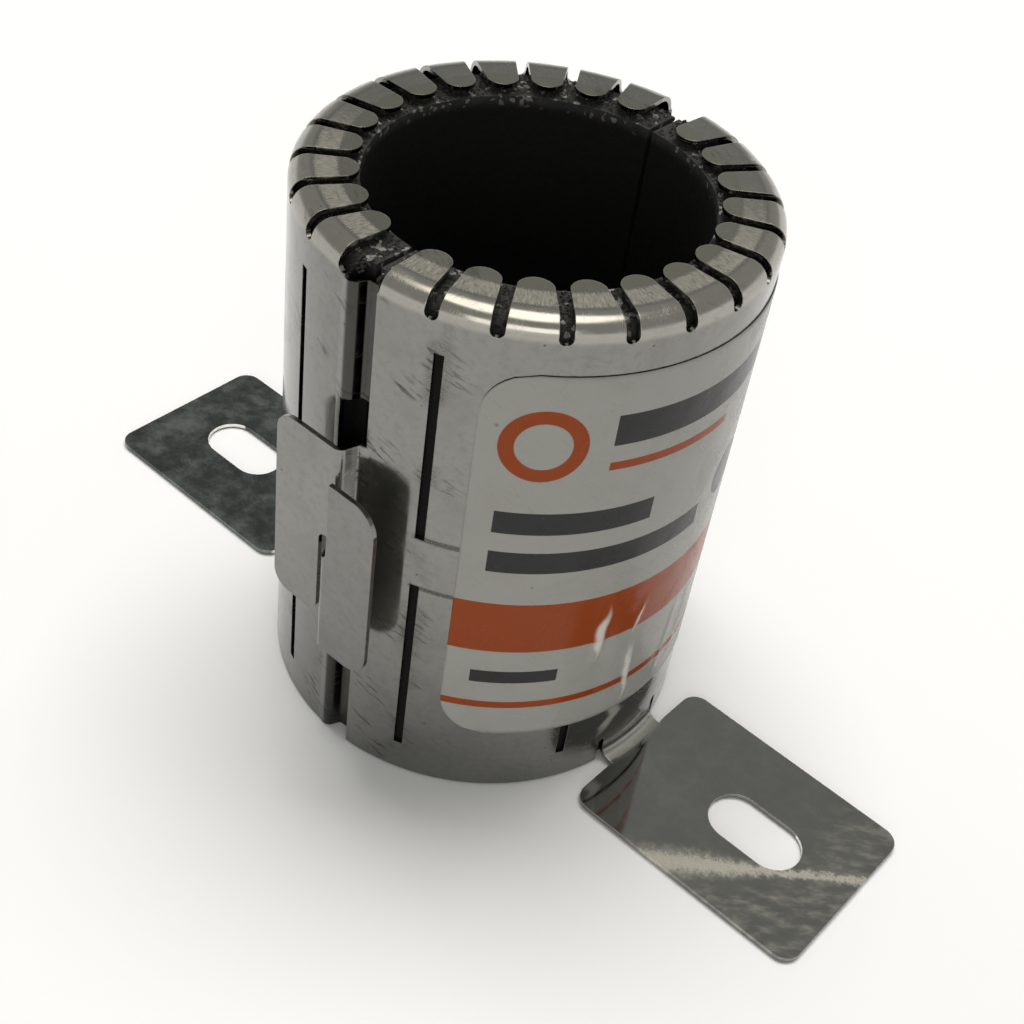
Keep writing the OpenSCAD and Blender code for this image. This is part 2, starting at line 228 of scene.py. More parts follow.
# %% Groups and materials
def new_group(name, inputs, outputs, kind="ShaderNodeTree"):
    """Starts a node group with named sockets, and returns its tree and both ends."""
    tree = bpy.data.node_groups.new(name, kind)
    for in_out, sockets in (("INPUT", inputs), ("OUTPUT", outputs)):
        for label, sort in sockets:
            tree.interface.new_socket(label, in_out=in_out, socket_type="NodeSocket" + sort)
    given = tree.nodes.new("NodeGroupInput").outputs
    out = tree.nodes.new("NodeGroupOutput").inputs
    return tree, given, out


def use(tree, group, **inputs):
    """Places a group in a material and returns its outputs."""
    return add(tree, "ShaderNodeGroup", {"node_tree": group}, **inputs).outputs


def new_material(name):
    """Starts a material, and returns it with its tree and its shader."""
    material = bpy.data.materials.new(name)
    material.use_nodes = True
    return material, material.node_tree, material.node_tree.nodes["Principled BSDF"]


def object_place(tree):
    """Where a point lies on the object, in metres."""
    return add(tree, "ShaderNodeTexCoord").outputs["Object"]


print("groups ready")

# %% [markdown]
# ## Floor
# The collar stands on a white floor that keeps its soft shadow. A white floor throws much
# light back, which would flatten the steel. So the camera and all reflections see it
# white, and only scattered light sees it darker. It fades out, so that low views have no
# hard horizon. A lit backdrop would do too, but would need more light on the collar.

# %% Floor
FLOOR_Z = -0.2 * MM
FLOOR_CORNERS = [(-1, -1), (1, -1), (1, 1), (-1, 1)]
FLOOR_FADE = (0.20, 0.80)
FLOOR_SEEN = (0.99, 1.0, 1.02, 1)
FLOOR_SCATTERED = (0.56, 0.56, 0.55, 1)


def seen_plainly(tree):
    """1 for rays from the camera, off a gloss or through glass, 0 for scattered light."""
    path = add(tree, "ShaderNodeLightPath").outputs
    shiny = most(tree, path["Is Glossy Ray"], path["Is Transmission Ray"])
    return most(tree, path["Is Camera Ray"], shiny)


floor_mesh = bpy.data.meshes.new("floor")
floor_mesh.from_pydata([(x, y, FLOOR_Z) for x, y in FLOOR_CORNERS], [], [(0, 1, 2, 3)])
floor = link(bpy.data.objects.new("floor", floor_mesh))
floor_paint, paint, floor_shader = new_material("floor_paint")
floor_tone = blend(paint, seen_plainly(paint), FLOOR_SCATTERED, FLOOR_SEEN)
fill(paint, floor_shader.inputs["Base Color"], floor_tone)
floor_shader.inputs["Roughness"].default_value = 0.9
floor_shader.inputs["Specular IOR Level"].default_value = 0.0
from_collar = vector_calc(paint, "LENGTH", object_place(paint))
fill(paint, floor_shader.inputs["Alpha"], fall(paint, from_collar, *FLOOR_FADE))
floor_mesh.materials.append(floor_paint)
print("floor at %.1f mm" % (FLOOR_Z / MM))

# %% [markdown]
# ## Room and lamps
# Bright steel shows what stands round it. A picture of a studio could give that, but no
# image is used here, so the room is three tones by height: white low down, which the
# walls mirror, grey above, which the tabs mirror, and a warm glow overhead that draws the
# bright lines along the folds. Two of the lamps stay out of the reflections, because from
# above they would bleach the flats.

# %% Room
GREY_FROM = (0.10, 0.30)
GLOW_FROM = (0.89, 0.95)
LOW_WHITE = (1.0, 1.0, 1.0, 1)
ROOM_GREY = (0.43, 0.43, 0.41, 1)
OVERHEAD_GLOW = (3.3, 3.15, 2.85, 1)
ROOM_SCATTERED = (0.24, 0.24, 0.23, 1)

world = bpy.data.worlds.new("room")
bpy.context.scene.world = world
world.use_nodes = True
room = world.node_tree
looking = add(room, "ShaderNodeTexCoord").outputs["Generated"]
upward = add(room, "ShaderNodeSeparateXYZ", Vector=looking).outputs["Z"]
surround = coats(room, LOW_WHITE, [
    (ramp(room, upward, *GREY_FROM), ROOM_GREY),
    (ramp(room, upward, *GLOW_FROM), OVERHEAD_GLOW),
])
room_tone = blend(room, seen_plainly(room), ROOM_SCATTERED, surround)
fill(room, room.nodes["Background"].inputs["Color"], room_tone)
bpy.context.scene.view_settings.view_transform = "Standard"
print("room:", len(room.nodes), "nodes")

# %% Lamps
LAMP_TARGET = Vector((0, 0, 0.03))
LAMPS = [
    # name, place and size in metres, power in watts, colour, seen in reflections
    ("ceiling_panel", (-0.30, 0.42, 1.75), (1.5, 0.8), 27, (1.0, 0.97, 0.92), False),
    ("window", (-2.0, 0.2, 1.1), (1.0, 1.0), 3, (1.0, 0.98, 0.95), False),
    ("front_fill", (1.1, -1.45, 0.75), (1.5, 0.75), 7.5, (1.0, 0.97, 0.89), True),
]

for name, place, size, power, colour, mirrored in LAMPS:
    lamp = bpy.data.lights.new(name, "AREA")
    lamp.shape = "RECTANGLE"
    lamp.size, lamp.size_y = size
    lamp.energy = power
    lamp.color = colour
    holder = link(bpy.data.objects.new(name, lamp))
    aim = (LAMP_TARGET - Vector(place)).to_track_quat("-Z", "Y").to_matrix().to_4x4()
    holder.matrix_world = Matrix.Translation(place) @ aim
    holder.visible_glossy = mirrored
print("lamps:", [row[0] for row in LAMPS])

# %% [markdown]
# ## Places on the sheet
# Scratches and dirt follow the sheet, so they need sizes along the sheet and not in
# space. A UV map could give them, but the solids have none. This group unrolls the wall
# instead: the way round becomes millimetres along an arc, and on the flat tabs and
# fingers the plain X and Y are used.

# %% Group: sheet places
TAB_TOP, TAB_FROM_R = 0.7, 24.6   # a tab lies below this height and outside this radius, mm
FLATS_FROM_Z = rim_top / MM - 0.3
FLATS_APART = 40.0                # keeps the noise on the flats apart from the wall's


def build_sheet_places():
    """Unrolls a place in metres into places along the sheet in millimetres."""
    tree, given, out = new_group(
        "sheet_places",
        [("Position", "Vector")],
        [("Sheet", "Vector"), ("Around", "Float"), ("Height", "Float"), ("Radius", "Float")],
    )
    split = add(tree, "ShaderNodeSeparateXYZ", Vector=given["Position"]).outputs
    x, y, z = (times(tree, part, 1 / MM) for part in split)
    radius = calc(tree, "SQRT", total(tree, times(tree, x, x), times(tree, y, y)))
    around = times(tree, calc(tree, "ARCTAN2", y, x), WALL_R / MM)
    low = calc(tree, "LESS_THAN", z, TAB_TOP)
    on_tab = times(tree, low, calc(tree, "GREATER_THAN", radius, TAB_FROM_R))
    on_flat = most(tree, on_tab, calc(tree, "GREATER_THAN", z, FLATS_FROM_Z))
    rolled = add(tree, "ShaderNodeCombineXYZ", X=around, Y=z).outputs[0]
    flat = add(tree, "ShaderNodeCombineXYZ", X=x, Y=y, Z=FLATS_APART).outputs[0]
    pick = add(tree, "ShaderNodeMix", {"data_type": "VECTOR"}, Factor=on_flat)
    fill(tree, pick.inputs[4], rolled)
    fill(tree, pick.inputs[5], flat)
    results = {"Sheet": pick.outputs[1], "Around": around, "Height": z, "Radius": radius}
    for label, value in results.items():
        fill(tree, out[label], value)
    return tree


sheet_places = build_sheet_places()
print("sheet_places:", [socket.name for socket in sheet_places.interface.items_tree])

# %% [markdown]
# ## Scratches, strokes, smudges and streaks
# Handling leaves long thin scratches, short dark strokes and broad smudges. A few bright
# streaks are painted highlights, where the sheet or the film is drawn. Each mark could be a
# mesh or a painted picture. Noise gives hundreds at once and stays sharp close up: squeezed
# along one direction it turns into lines, and cut to a narrow range it turns into
# scratches. They are groups, so the steel and the label share them with their own values.

# %% Groups: scratches and strokes
SCRATCH_SQUEEZE = (0.16, 3.2, 1.0)
SCRATCH_NOISE = (3.0, 0.6, 0.25)      # detail, roughness and distortion
SCRATCH_LINE = (0.5, 0.006, 0.016)    # middle, half and soft edge of the range that shows
PATCH_NOISE = (0.33, 2.0)             # scale and detail
PATCH_CUT = (0.42, 0.62)
STROKE_SQUEEZE = (0.35, 2.0, 1.0)
STROKE_NOISE = (1.0, 3.0, 0.6)        # scale, detail and roughness, as in all that follow
STROKE_EDGE = 0.07


def turned_places(tree, sheet, angle):
    """Turns the sheet's places by an angle."""
    settings = {"rotation_type": "Z_AXIS"}
    return add(tree, "ShaderNodeVectorRotate", settings, Vector=sheet, Angle=angle).outputs[0]


def build_scratches():
    """Long fine lines, in patches."""
    inputs = [("Sheet", "Vector"), ("Angle", "Float"), ("Fineness", "Float")]
    tree, given, out = new_group("scratches", inputs, [("Mask", "Float")])
    turned = turned_places(tree, given["Sheet"], given["Angle"])
    squeezed = vector_calc(tree, "MULTIPLY", turned, SCRATCH_SQUEEZE)
    wander = noise(tree, squeezed, given["Fineness"], *SCRATCH_NOISE)
    line = band(tree, wander, *SCRATCH_LINE)
    patches = ramp(tree, noise(tree, turned, *PATCH_NOISE), *PATCH_CUT)
    fill(tree, out["Mask"], times(tree, line, patches))
    return tree


def build_strokes():
    """Short broad strokes, the fewer the higher the cover value."""
    inputs = [("Sheet", "Vector"), ("Angle", "Float"), ("Cover", "Float")]
    tree, given, out = new_group("strokes", inputs, [("Mask", "Float")])
    turned = turned_places(tree, given["Sheet"], given["Angle"])
    squeezed = vector_calc(tree, "MULTIPLY", turned, STROKE_SQUEEZE)
    blots = noise(tree, squeezed, *STROKE_NOISE)
    full = total(tree, given["Cover"], STROKE_EDGE)
    fill(tree, out["Mask"], ramp(tree, blots, given["Cover"], full))
    return tree


scratches = build_scratches()
strokes = build_strokes()
print("groups:", scratches.name, strokes.name)

# %% Group: smudges
CLOUD_NOISE = (5.0, 0.62, 0.6)        # detail, roughness and distortion
SMUDGE_CUT = (0.46, 0.72)
SPECK_PICK = ("Red", 0.86, 0.9)
SPECK_R = (0.05, 0.13)
GRAIN_NOISE = (9.0, 2.0)


def some_cells(tree, vector, scale, channel, low, high):
    """Small cells: the distance to the nearest one, and a mask that picks a few."""
    cells = add(tree, "ShaderNodeTexVoronoi", Vector=vector, Scale=scale).outputs
    shades = add(tree, "ShaderNodeSeparateColor", Color=cells["Color"]).outputs
    return cells["Distance"], ramp(tree, shades[channel], low, high)


def build_smudges():
    """Broad smudges, a few round specks and fine grain."""
    tree, given, out = new_group(
        "smudges",
        [("Sheet", "Vector"), ("Size", "Float"), ("Speck Size", "Float")],
        [("Smudge", "Float"), ("Speck", "Float"), ("Grain", "Float")],
    )
    sheet = given["Sheet"]
    cloud = noise(tree, sheet, given["Size"], *CLOUD_NOISE)
    away, picked = some_cells(tree, sheet, given["Speck Size"], *SPECK_PICK)
    fill(tree, out["Smudge"], ramp(tree, cloud, *SMUDGE_CUT))
    fill(tree, out["Speck"], times(tree, fall(tree, away, *SPECK_R), picked))
    fill(tree, out["Grain"], noise(tree, sheet, *GRAIN_NOISE))
    return tree


smudges = build_smudges()
print("group:", smudges.name)

# %% Group: streak
STREAK_WAVER = 0.28
STREAK_SHIFT = 7.0                    # gives each streak a waver of its own
STREAK_FULL = 1 / 8                   # share of its height, up and down, at full width
STREAK_THIN = 0.02
STREAK_EDGE = (0.2, 1.0)


def build_streak():
    """One lens-shaped bright streak that leans by a slope and wavers a little."""
    sizes = ("Around", "Height", "Start", "Slope", "Low", "High", "Half Width")
    tree, given, out = new_group("streak", [(s, "Float") for s in sizes], [("Mask", "Float")])
    raised = minus(tree, given["Height"], given["Low"])
    tall = minus(tree, given["High"], given["Low"])
    half_tall = times(tree, tall, 0.5)
    swell = fall(tree, gap(tree, raised, half_tall), times(tree, tall, STREAK_FULL), half_tall)
    along = scaled(tree, given["Start"], STREAK_SHIFT, given["Height"])
    settings = {"noise_dimensions": "1D"}
    waver = add(
        tree, "ShaderNodeTexNoise", settings, W=along, Scale=STREAK_WAVER, Detail=1.0
    ).outputs[0]
    swing = times(tree, scaled(tree, waver, 2.0, -1.0), given["Half Width"])
    middle = total(tree, scaled(tree, raised, given["Slope"], given["Start"]), swing)
    width = scaled(tree, swell, given["Half Width"], STREAK_THIN)
    away = calc(tree, "DIVIDE", gap(tree, given["Around"], middle), width)
    fill(tree, out["Mask"], times(tree, fall(tree, away, *STREAK_EDGE), swell))
    return tree


streak = build_streak()
print("group:", streak.name)

# %% [markdown]
# ## Steel: marks on the fingers
# The press that folded the fingers has scuffed a band across each flat. It is dull and
# pale against the smooth tip. The bend below it gets a paler, warmer tint, a painted
# sheen. Vertex colours would need a finer mesh, so these are masks by radius and height:
# the band's edge is made ragged by the grain, and lines from the press run along each
# finger. On the side that faces away from the latch the band fades out; that fade is
# painted shade.

# %% Finger masks
RIM = rim_top / MM
ON_FLAT = (RIM - 0.35, RIM - 0.1)
SCUFF_R, SCUFF_HALF, SCUFF_SOFT = 20.5, 0.9, 0.4
TIP_R = (19.0, 19.5)
BEND_Z = (RIM - 2.4, RIM - 1.7)
BEND_R = (21.6, 22.2)
RAGGED = 1.2                          # how far the grain moves the band's edge, mm
PRESS_LENGTH = 0.2                    # the lower, the longer the press lines
PRESS_NOISE = (6.0, 2.0, 0.6)
PRESS_CUT = (0.36, 0.64, 0.45, 1.0)   # from and to in the noise, and the mask there
LATCH_SIDE = (0.5, -0.87, 0)
SCUFF_SHADE_FADE = (-9 * MM, 5 * MM, 0.2, 1.0)


def finger_masks(tree, spot, at, grain):
    """The scuffed band, the smooth tip and the bend of every finger."""
    flat = ramp(tree, at["Height"], *ON_FLAT)
    ragged = total(tree, at["Radius"], scaled(tree, grain, RAGGED, -RAGGED / 2))
    scuff_band = band(tree, ragged, SCUFF_R, SCUFF_HALF, SCUFF_SOFT)
    inward = times(tree, at["Radius"], PRESS_LENGTH)
    lengthwise = add(tree, "ShaderNodeCombineXYZ", X=at["Around"], Y=inward).outputs[0]
    press_lines = ramp(tree, noise(tree, lengthwise, *PRESS_NOISE), *PRESS_CUT)
    near_latch = vector_calc(tree, "DOT_PRODUCT", spot, LATCH_SIDE)
    # The scuffed band fades on the side away from the latch; this fade is painted shade.
    scuff_shade_fade = ramp(tree, near_latch, *SCUFF_SHADE_FADE)
    bend = times(tree, ramp(tree, at["Height"], *BEND_Z), ramp(tree, at["Radius"], *BEND_R))
    return {
        "scuffed": times(tree, scuff_band, flat, scuff_shade_fade, press_lines),
        "tip": times(tree, fall(tree, at["Radius"], *TIP_R), flat),
        "bend": bend,
    }


print("fingers: scuffed from %.1f to %.1f mm" % (SCUFF_R - SCUFF_HALF, SCUFF_R + SCUFF_HALF))

# %% [markdown]
# ## Steel: marks on the tabs
# The tabs are the smoothest steel on the collar. On the front one a worn band slants
# across, broad at one end, with smears near the outer end, and the bend at the neck has a
# painted highlight. Both tabs have cloudy paler patches, most of all the rear one; these
# are painted light. Each mark could have a turned pattern of its own. Here one turn of the
# axes gives the way along and across the worn band, and all the masks are measured from
# that, so they move together.

# %% Tab masks
ON_TAB_Z = (0.8, 1.2)
ON_TAB_R = (25.4, 26.2)
WORN_AT = (44.1, -5.2)                # middle of the worn band, mm
WORN_SLANT = 0.69                     # radians
WORN_TAPER = (-7.0, 5.0, 2.7, 1.1)    # its two ends and half its width there, mm
WORN_WAVER = 2.4
WORN_EDGE = (0.1, 1.0)
WORN_GRAIN = (0.30, 0.62, 0.55, 1.0)
SMEAR_LENGTH = 0.4
SMEAR_NOISE = (0.8, 6.0, 0.62)
SMEAR_CUT = (0.40, 0.72)
SMEAR_LEAST, SMEAR_WORN = 0.12, 0.36
OUTER_END, OUTER_SIDE = (44.0, 53.0), (-3.5, -1.0)
NECK_Z, NECK_R = (1.3, 0.5, 0.5), (25.2, 0.4, 0.5)
LIT_CLOUD_NOISE = (0.20, 7.0, 0.68)
LIT_CLOUD_CUT = (0.42, 0.66)


def tab_masks(tree, at, grain, mottle, wear_and_highlight_share):
    """The tab itself, its worn places, its cloudy patches of painted light and the painted
    highlight on the bend at its neck.
    """
    low = fall(tree, at["Height"], *ON_TAB_Z)
    on_tab = times(tree, low, ramp(tree, at["Radius"], *ON_TAB_R))
    flat = add(tree, "ShaderNodeSeparateXYZ", Vector=at["Sheet"]).outputs
    dx, dy = minus(tree, flat["X"], WORN_AT[0]), minus(tree, flat["Y"], WORN_AT[1])
    cos, sin = math.cos(WORN_SLANT), math.sin(WORN_SLANT)
    across = minus(tree, times(tree, dy, cos), times(tree, dx, sin))
    along = total(tree, times(tree, dx, cos), times(tree, dy, sin))

    waver = scaled(tree, mottle, WORN_WAVER, -WORN_WAVER / 2)
    uneven = calc(tree, "ABSOLUTE", total(tree, across, waver))
    part = calc(tree, "DIVIDE", uneven, ramp(tree, along, *WORN_TAPER))
    worn = times(tree, fall(tree, part, *WORN_EDGE), ramp(tree, grain, *WORN_GRAIN))
    drawn_out = times(tree, along, SMEAR_LENGTH)
    smear_at = add(tree, "ShaderNodeCombineXYZ", X=drawn_out, Y=across).outputs[0]
    smears = ramp(tree, noise(tree, smear_at, *SMEAR_NOISE), *SMEAR_CUT)
    outer = most(tree, ramp(tree, flat["X"], *OUTER_END), fall(tree, across, *OUTER_SIDE))
    smeared = times(tree, outer, SMEAR_LEAST + SMEAR_WORN * wear_and_highlight_share, smears)
    # The bend at the neck gets a painted highlight.
    neck = times(tree, band(tree, at["Height"], *NECK_Z), band(tree, at["Radius"], *NECK_R))
    return {
        "on_tab": on_tab,
        "off_tab": minus(tree, 1.0, on_tab),
        "tab_wear": times(tree, most(tree, times(tree, worn, wear_and_highlight_share), smeared), on_tab),
        # Cloudy paler patches on the tabs, which are painted light.
        "lit_clouds": ramp(tree, noise(tree, at["Sheet"], *LIT_CLOUD_NOISE), *LIT_CLOUD_CUT),
        "neck": times(tree, neck, wear_and_highlight_share),
    }


print("worn band at", WORN_AT, "mm, slant %.0f degrees" % math.degrees(WORN_SLANT))

# %% [markdown]
# ## Steel: marks on the wall
# Dirt has gathered in lines at the ends of the wall slots, and dark strokes and specks lie
# beside the seam. The fold under the hooks is darkened, which is painted shade. The backs
# of the hooks are made pale, which is painted light, and a painted highlight lies where
# the wall is drawn out towards the tab. Dirt could be a second shader on top, but a mask
# that darkens and roughens the steel is simpler.

# %% Wall masks
SLOT_SIDE = (27.0, 2.2, 0.8)                          # way round from the tab, mm
SLOT_GRAIN = (0.36, 0.50)
SLOT_LEAST, SLOT_WORN = 0.35, 0.65
SLOT_ENDS = [(35.4, 0.15, 0.35), (28.7, 0.12, 0.3)]   # height, half and soft edge, mm
SEAM_SIDE = (24.0, 30.5, 0.2, 1.0)
SEAM_HALO, HALO_GRAIN = (29.0, 0.6, 1.3), (0.40, 0.60)
CLUSTER_NOISE, CLUSTER_CUT = (0.15, 2.0), (0.50, 0.64)
SPECK_SHARE, STROKE_SHARE, HALO_SHARE = 0.8, 0.85, 0.6
FOLD_SIDE = (36.0, 36.5)
ON_WALL_R, IN_FOLD_R, ON_HOOK_R = (24.3, 24.6), (24.1, 24.3), (24.5, 24.6)
FACING_BACK = (-0.020, -0.015)                        # normal times place, m
STROKE_ANGLE, STROKE_COVER = 0.42, 0.53
DRAWN_HIGHLIGHT_STREAK = {"Start": -5.8, "Slope": 0.33, "Low": 3.4, "High": 11.0, "Half_Width": 1.5}


def wall_dirt(tree, at, marks, off_tab, wear_and_highlight_share):
    """Lines at the slot ends, strokes and a halo by the seam, and specks all over."""
    aside = calc(tree, "ABSOLUTE", at["Around"])
    grain = marks["Grain"]
    slot_share = SLOT_LEAST + SLOT_WORN * wear_and_highlight_share
    broken = ramp(tree, grain, *SLOT_GRAIN, 0.0, slot_share)
    slot_ends = most(tree, *(band(tree, at["Height"], *end) for end in SLOT_ENDS))
    clusters = ramp(tree, noise(tree, at["Sheet"], *CLUSTER_NOISE), *CLUSTER_CUT)
    by_seam = times(tree, ramp(tree, aside, *SEAM_SIDE), fall(tree, at["Radius"], *ON_WALL_R))
    dashes = use(tree, strokes, Sheet=at["Sheet"], Angle=STROKE_ANGLE, Cover=STROKE_COVER)["Mask"]
    halo = times(tree, band(tree, aside, *SEAM_HALO), clusters, ramp(tree, grain, *HALO_GRAIN))
    dirt = most(
        tree,
        times(tree, band(tree, aside, *SLOT_SIDE), broken, slot_ends),
        times(tree, marks["Speck"], SPECK_SHARE),
        times(tree, dashes, by_seam, clusters, STROKE_SHARE),
        times(tree, halo, HALO_SHARE),
    )
    return times(tree, dirt, off_tab)


def wall_masks(tree, spot, at, marks, off_tab, wear_and_highlight_share):
    """Dirt, painted shade in the fold, a painted highlight where the wall is drawn out, and the
    backs of the hooks, which get painted light.
    """
    # A painted highlight where the wall is drawn out towards the tab.
    drawn = use(tree, streak, Around=at["Around"], Height=at["Height"], **DRAWN_HIGHLIGHT_STREAK)["Mask"]
    inside = fall(tree, at["Radius"], *IN_FOLD_R)
    normal = add(tree, "ShaderNodeNewGeometry").outputs["Normal"]
    outward = vector_calc(tree, "DOT_PRODUCT", normal, spot)
    on_hook = ramp(tree, at["Radius"], *ON_HOOK_R)
    return {
        "dirt": wall_dirt(tree, at, marks, off_tab, wear_and_highlight_share),
        # The fold is darkened as painted shade.
        "fold_shade": times(tree, ramp(tree, at["Around"], *FOLD_SIDE), inside),
        "drawn": times(tree, drawn, wear_and_highlight_share),
        # The backs of the hooks are made pale as painted light.
        "hook_back": times(tree, fall(tree, outward, *FACING_BACK), on_hook),
    }


print("slot ends at", [end[0] for end in SLOT_ENDS], "mm")

# %% [markdown]
# ## Steel: colour, roughness and relief
# The sheet is nearly a mirror, so its colour is mostly what it reflects, and the tint
# only says how bright. Several shaders could be mixed by the masks, but one shader whose
# colour and roughness change is lighter. The colours are laid on in turn, as a painter
# would, and the roughness adds up what each mark does.

# %% Steel colour
BEND_PAINTED_SHEEN = (0.56, 0.535, 0.465, 1)
SCUFF_PALE = (0.52, 0.50, 0.43, 1)
WORN_PALE = (0.66, 0.635, 0.555, 1)
DRAWN_PAINTED_HIGHLIGHT = (0.75, 0.74, 0.69, 1)
NECK_PAINTED_HIGHLIGHT = (0.55, 0.535, 0.48, 1)
SCRATCH_GREY = (0.35, 0.345, 0.32, 1)
FOLD_PAINTED_SHADE = (0.04, 0.039, 0.035, 1)
DIRT_DARK = (0.034, 0.033, 0.028, 1)
HOOK_BACK_PAINTED_LIGHT = (0.90, 0.89, 0.85, 1)
DULL_TONE = (0.72, 0.72, 0.70)        # shares of the half's own tint
TIP_TONE = (1.12, 1.11, 0.98)
SMUDGE_SHARE = 0.5
MOTTLE_CUT = (0.44, 0.68, 0.0, 0.45)
BEND_SHEEN_SHARE, SCRATCH_SHARE, FOLD_SHADE_SHARE, DIRT_SHARE = 0.4, 0.22, 0.85, 0.8


def toned(colour, shares):
    """A colour with each part multiplied by its share."""
    return (*(part * share for part, share in zip(colour, shares)), 1)


def steel_colour(tree, masks, marks, mottle, tint, tab_tone, lit_cloud_share):
    """Colours of one half, laid on one over another."""
    cloudy = ramp(tree, mottle, *MOTTLE_CUT)
    dulled = most(tree, times(tree, marks["Smudge"], SMUDGE_SHARE), cloudy)
    clean = blend(tree, dulled, (*tint, 1), toned(tint, DULL_TONE))
    lit_cloud_tone = toned(tab_tone, [lit_cloud_share] * 3)
    return coats(tree, clean, [
        # On the tabs, cloudy paler patches of painted light.
        (masks["on_tab"], blend(tree, masks["lit_clouds"], (*tab_tone, 1), lit_cloud_tone)),
        # The bends get a paler, warmer tint: a painted sheen.
        (times(tree, masks["bend"], BEND_SHEEN_SHARE), BEND_PAINTED_SHEEN),
        (masks["tip"], toned(tint, TIP_TONE)),
        (masks["scuffed"], SCUFF_PALE),
        (masks["tab_wear"], WORN_PALE),
        # Painted highlight where the wall is drawn out.
        (masks["drawn"], DRAWN_PAINTED_HIGHLIGHT),
        # Painted highlight on the bend at the tab's neck.
        (masks["neck"], NECK_PAINTED_HIGHLIGHT),
        (times(tree, masks["lines"], SCRATCH_SHARE), SCRATCH_GREY),
        # Painted shade in the fold under the hooks.
        (times(tree, masks["fold_shade"], FOLD_SHADE_SHARE), FOLD_PAINTED_SHADE),
        (times(tree, masks["dirt"], DIRT_SHARE), DIRT_DARK),
        # Painted light on the backs of the hooks.
        (masks["hook_back"], HOOK_BACK_PAINTED_LIGHT),
    ])


print("steel colours ready")

# %% Steel roughness and relief
WALL_ROUGH = (0.12, 0.11)             # what smudges add, and the bare steel
TAB_ROUGH = (0.03, 0.05)
SCRATCH_ROUGH = (-0.10, 0.14)         # what the tab takes off, and the wall
RUBBED_ROUGH = 0.34
MARK_ROUGH = {"drawn": 0.3, "bend": 0.04, "dirt": 0.3, "hook_back": 0.4}
WAVE_NOISE, WAVE_RISE = (0.07, 1.0), 0.30
CUT_DEPTH = 0.01
RELIEF = {"Distance": 0.2 * MM, "Strength": 0.5}
EDGE_ROUND = 0.12 * MM


def steel_roughness(tree, masks, smudge):
    """Smooth tabs and walls, roughened by each kind of mark."""
    rubbed = most(tree, masks["scuffed"], masks["tab_wear"])
    return total(
        tree,
        times(tree, scaled(tree, smudge, *WALL_ROUGH), masks["off_tab"]),
        times(tree, scaled(tree, smudge, *TAB_ROUGH), masks["on_tab"]),
        times(tree, rubbed, RUBBED_ROUGH),
        times(tree, masks["lines"], scaled(tree, masks["on_tab"], *SCRATCH_ROUGH)),
        *(times(tree, masks[mark], added) for mark, added in MARK_ROUGH.items()),
    )


def steel_relief(tree, masks, sheet):
    """Low waves in the rolled wall, fine cuts, and edges that look slightly rounded."""
    waves = times(tree, noise(tree, sheet, *WAVE_NOISE), masks["off_tab"], WAVE_RISE)
    cuts = total(tree, times(tree, masks["lines"], masks["off_tab"]), masks["scuffed"])
    height = minus(tree, waves, times(tree, cuts, CUT_DEPTH))
    rounded = add(tree, "ShaderNodeBevel", {"samples": 4}, Radius=EDGE_ROUND).outputs[0]
    return add(tree, "ShaderNodeBump", Height=height, Normal=rounded, **RELIEF).outputs[0]


print("steel roughness and relief ready")

# %% Steel on both halves
SCRATCH_SETS = [(0.5, 1.0), (-1.15, 1.7)]             # angle and fineness
STEEL_MARKS = {"Size": 0.16, "Speck_Size": 0.8}
MOTTLE_NOISE = (1.1, 5.0, 0.66)
HALVES = [
    # half, turn, tint, tone of its tab, how much paler its tab's patches of painted light are,
    # how worn it is and how strong its painted highlights are
    ("front", 0.0, (0.240, 0.239, 0.226), (0.224, 0.224, 0.213), 1.15, 1.0),
    # The rear half is the same steel: its darker tint, and its much darker tab, are painted shade.
    ("rear", math.pi, (0.205, 0.205, 0.195), (0.074, 0.083, 0.080), 2.8, 0.0),
]


def rolled_steel(name, turn, tint, tab_tone, lit_cloud_share, wear_and_highlight_share):
    """Steel for one half, with its marks placed from that half's own tab."""
    material, tree, shader = new_material(name)
    spot = object_place(tree)
    own = add(tree, "ShaderNodeMapping", Vector=spot, Rotation=(0, 0, turn)).outputs[0]
    at = use(tree, sheet_places, Position=own)
    sheet = at["Sheet"]
    marks = use(tree, smudges, Sheet=sheet, **STEEL_MARKS)
    mottle = noise(tree, sheet, *MOTTLE_NOISE)
    masks = {"lines": most(tree, *(
        use(tree, scratches, Sheet=sheet, Angle=angle, Fineness=fineness)["Mask"]
        for angle, fineness in SCRATCH_SETS
    ))}
    masks.update(finger_masks(tree, spot, at, marks["Grain"]))
    masks.update(tab_masks(tree, at, marks["Grain"], mottle, wear_and_highlight_share))
    masks.update(wall_masks(tree, spot, at, marks, masks["off_tab"], wear_and_highlight_share))
    colour = steel_colour(tree, masks, marks, mottle, tint, tab_tone, lit_cloud_share)
    fill(tree, shader.inputs["Base Color"], colour)
    fill(tree, shader.inputs["Roughness"], steel_roughness(tree, masks, marks["Smudge"]))
    fill(tree, shader.inputs["Normal"], steel_relief(tree, masks, sheet))
    shader.inputs["Metallic"].default_value = 1.0
    return material


for half, *finish in HALVES:
    steel = rolled_steel(half + "_steel", *finish)
    nodes[half + "_half_shell"].data.materials[0] = steel
    print(steel.name, len(steel.node_tree.nodes), "nodes")

# %% [markdown]
# ## Graphite mat
# The liner is pressed graphite, black and crumbly, and paler with bright flakes where its
# top is torn. Modelling every grain would take millions of faces, so noise gives the rough
# relief, and small cells of which a few are picked give the flakes.

